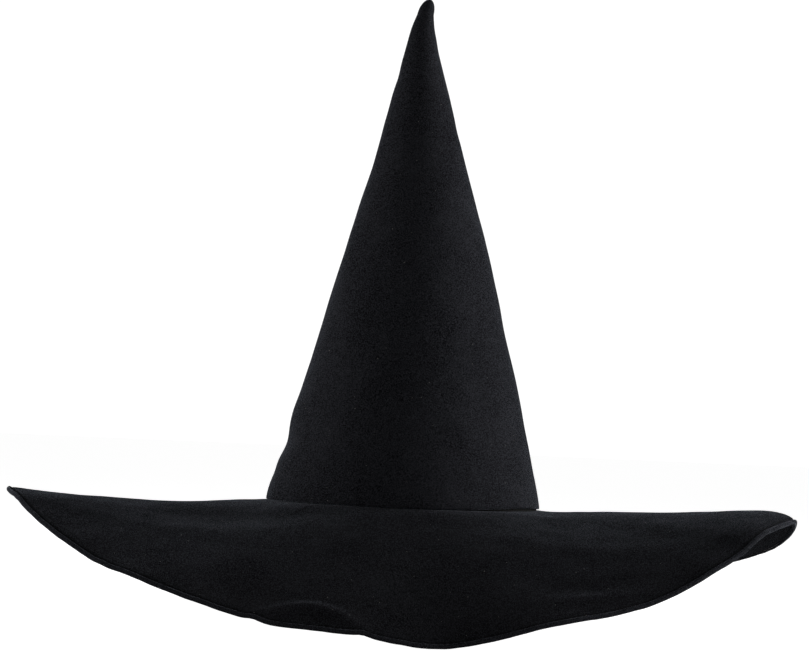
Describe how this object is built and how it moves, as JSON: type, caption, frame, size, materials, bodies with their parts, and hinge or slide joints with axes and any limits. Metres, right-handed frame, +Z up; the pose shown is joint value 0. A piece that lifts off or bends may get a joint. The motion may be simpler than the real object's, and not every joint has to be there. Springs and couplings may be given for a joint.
{
  "type": "witch hat",
  "caption": "Black pointed costume hat: tall stiffened cloth cone on a wide round brim with a wired, rolled edge, worn on the head; the soft tip of the cone flops over and springs back.",
  "frame": {"origin": "centre of the head opening, in the plane where the crown is sewn to the brim", "axes": "+Z up the crown, -Y to the front, +X to the right-hand side as seen from the front"},
  "size_m": [0.5509, 0.5175, 0.4387],
  "materials": {
    "felt": "matte black brushed cloth with a short nap",
    "stiffening": "stiff open-weave black interlining",
    "lining": "thin black woven lining, slight sheen",
    "ribbon": "ribbed black grosgrain ribbon",
    "label": "blank off-white satin label",
    "wire": "bright drawn steel wire",
    "joiner": "plain brass sleeve"
  },
  "bodies": {
    "hat": {"crown_shell": "felt", "crown_fold": "felt", "crown_stiffener": "stiffening", "crown_lining": "lining", "brim_top": "felt", "brim_stiffener": "stiffening", "brim_under": "felt", "brim_edge_binding": "felt", "brim_wire": "wire", "wire_joiner": "joiner", "sweatband": "ribbon", "sweatband_join": "ribbon", "care_label": "label"},
    "tip": {"crown_tip": "felt"}
  },
  "joints": [
    {"name": "tip_bend", "type": "hinge", "parent": "hat", "child": "tip", "pos_m": [0.0007, 0, 0.284], "axis": [0, 1, 0], "range_deg": [-60, 60], "stiffness_Nm_per_rad": 0.02, "deforming": ["crown_fold"]}
  ]
}
